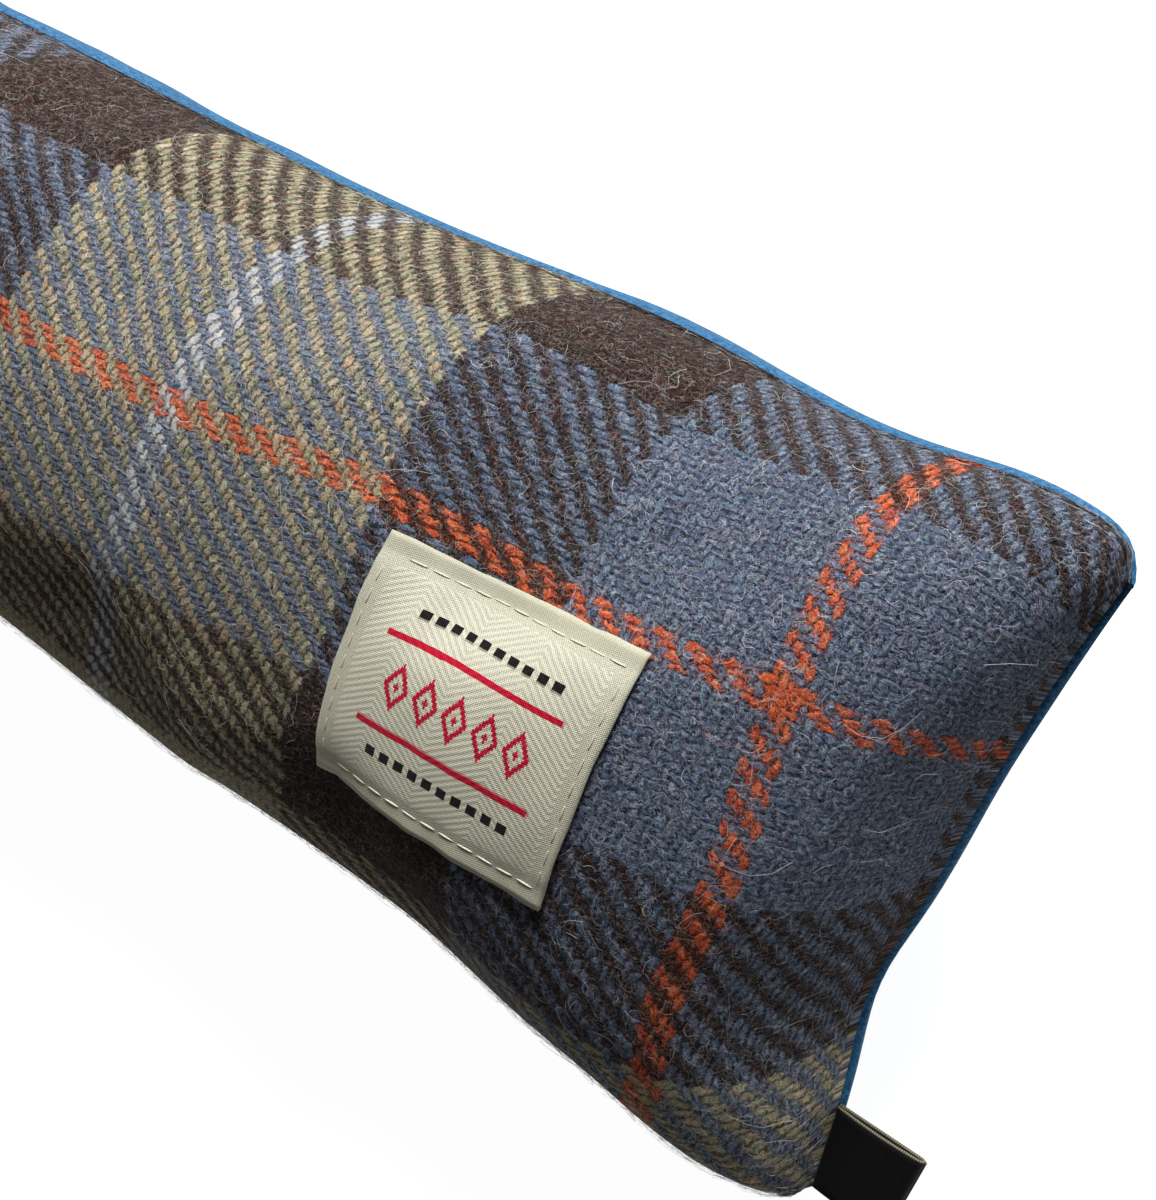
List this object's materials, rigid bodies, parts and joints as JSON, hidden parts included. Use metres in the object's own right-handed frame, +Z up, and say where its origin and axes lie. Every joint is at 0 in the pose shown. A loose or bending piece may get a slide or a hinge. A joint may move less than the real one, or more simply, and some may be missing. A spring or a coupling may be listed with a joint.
{
  "type": "draught excluder",
  "caption": "Long stuffed cushion of checked wool cloth with a plain blue back, a sewn-on woven label and a folded ribbon tab at one end, laid along the foot of a door.",
  "frame": {"origin": "middle of the whole box, on the floor it lies on", "axes": "+X along the cushion to the end with the label and the tab, +Z up out of the wool face, +Y to the upper long seam"},
  "size_m": [0.8602, 0.1036, 0.0732],
  "materials": {
    "tweed": "woolly twill, checked in blue, brown and fawn with an orange line",
    "blue_cloth": "smooth matt cloth",
    "label_weave": "fine herringbone weave with a soft sheen",
    "tab_satin": "black satin ribbon"
  },
  "bodies": {
    "root": {"tweed_front": "tweed", "blue_back": "blue_cloth", "woven_label": "label_weave", "end_tab": "tab_satin"}
  },
  "joints": []
}
